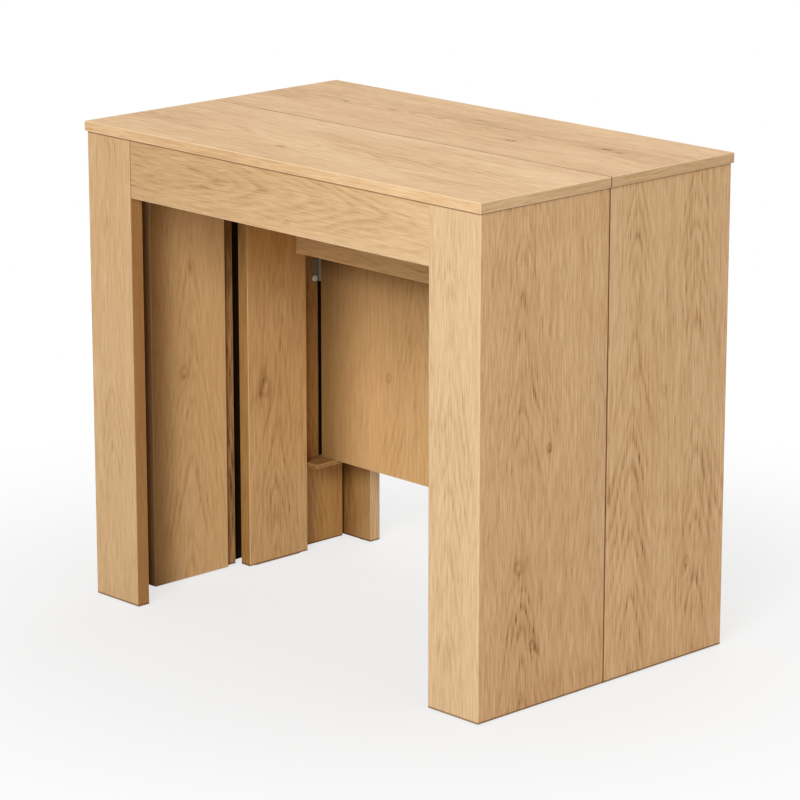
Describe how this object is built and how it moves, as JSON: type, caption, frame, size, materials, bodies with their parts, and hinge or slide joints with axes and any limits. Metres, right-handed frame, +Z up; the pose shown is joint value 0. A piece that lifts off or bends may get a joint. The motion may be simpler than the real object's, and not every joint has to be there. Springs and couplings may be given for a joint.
{
  "type": "extending dining table",
  "caption": "Oak-finish console that pulls out into a long dining table on telescopic guides, with a centre support that follows.",
  "frame": {"origin": "on the floor, under the middle of the closed table's box", "axes": "+X along the table's width to the right, +Y from the front half to the rear half, +Z up; the front half is pulled out towards -Y"},
  "size_m": [0.88, 0.54, 0.78],
  "materials": {
    "oak_outer": "light oak decor with fine straight grain, satin",
    "oak_inner": "the same oak decor on the inner boards, satin",
    "aluminium": "extruded, natural anodised",
    "steel": "zinc plated sheet steel",
    "nylon": "off-white nylon",
    "beech": "plain turned beech"
  },
  "bodies": {
    "rear_half": {"rear_top": "oak_outer", "rear_apron": "oak_outer", "back_panel": "oak_inner", "rear_leg_left": "oak_outer", "rear_leg_right": "oak_outer", "rear_side_left": "oak_outer", "rear_side_right": "oak_outer", "rear_inner_board_left": "oak_inner", "rear_inner_board_right": "oak_inner", "panel_ledge_left": "oak_inner", "panel_ledge_right": "oak_inner", "panel_clip_left": "steel", "panel_clip_right": "steel", "panel_clip_screw_left": "nylon", "panel_clip_screw_right": "nylon", "rear_rail_left": "aluminium", "rear_rail_right": "aluminium", "rear_rail_bracket_left": "steel", "rear_rail_bracket_right": "steel", "rear_leg_glide_left": "nylon", "rear_leg_glide_right": "nylon", "rear_side_glide_left": "nylon", "rear_side_glide_right": "nylon"},
    "front_half": {"front_top": "oak_outer", "front_apron": "oak_outer", "front_leg_left": "oak_outer", "front_leg_right": "oak_outer", "front_side_left": "oak_outer", "front_side_right": "oak_outer", "front_inner_board_left": "oak_inner", "front_inner_board_right": "oak_inner", "seam_batten_left": "oak_inner", "seam_batten_right": "oak_inner", "front_rail_left": "aluminium", "front_rail_right": "aluminium", "front_rail_bracket_left": "steel", "front_rail_bracket_right": "steel", "front_leg_glide_left": "nylon", "front_leg_glide_right": "nylon", "front_side_glide_left": "nylon", "front_side_glide_right": "nylon", "top_dowel_left": "beech", "top_dowel_right": "beech"},
    "centre_support": {"support_cross_board": "oak_inner", "support_post_left": "oak_inner", "support_post_right": "oak_inner", "centre_rail_left": "aluminium", "centre_rail_right": "aluminium", "support_bracket_left": "steel", "support_bracket_right": "steel", "post_glide_left": "nylon", "post_glide_right": "nylon"},
    "rail_stage_1": {"telescopic_rail_1_left": "aluminium", "telescopic_rail_1_right": "aluminium"},
    "rail_stage_2": {"telescopic_rail_2_left": "aluminium", "telescopic_rail_2_right": "aluminium"},
    "rail_stage_4": {"telescopic_rail_4_left": "aluminium", "telescopic_rail_4_right": "aluminium"},
    "rail_stage_5": {"telescopic_rail_5_left": "aluminium", "telescopic_rail_5_right": "aluminium"}
  },
  "joints": [
    {"name": "front_half_slide", "type": "slide", "parent": "rear_half", "child": "front_half", "axis": [0, -1, 0], "range_m": [0, 1.86]},
    {"name": "rail_stage_1_slide", "type": "slide", "parent": "rear_half", "child": "rail_stage_1", "axis": [0, -1, 0], "range_m": [0, 0.31]},
    {"name": "rail_stage_2_slide", "type": "slide", "parent": "rear_half", "child": "rail_stage_2", "axis": [0, -1, 0], "range_m": [0, 0.62]},
    {"name": "centre_support_slide", "type": "slide", "parent": "rear_half", "child": "centre_support", "axis": [0, -1, 0], "range_m": [0, 0.93]},
    {"name": "rail_stage_4_slide", "type": "slide", "parent": "rear_half", "child": "rail_stage_4", "axis": [0, -1, 0], "range_m": [0, 1.24]},
    {"name": "rail_stage_5_slide", "type": "slide", "parent": "rear_half", "child": "rail_stage_5", "axis": [0, -1, 0], "range_m": [0, 1.55]}
  ],
  "couplings": [
    {"joint": "rail_stage_1_slide", "follows": "front_half_slide", "ratio": 0.16667},
    {"joint": "rail_stage_2_slide", "follows": "front_half_slide", "ratio": 0.33333},
    {"joint": "centre_support_slide", "follows": "front_half_slide", "ratio": 0.5},
    {"joint": "rail_stage_4_slide", "follows": "front_half_slide", "ratio": 0.66667},
    {"joint": "rail_stage_5_slide", "follows": "front_half_slide", "ratio": 0.83333}
  ]
}
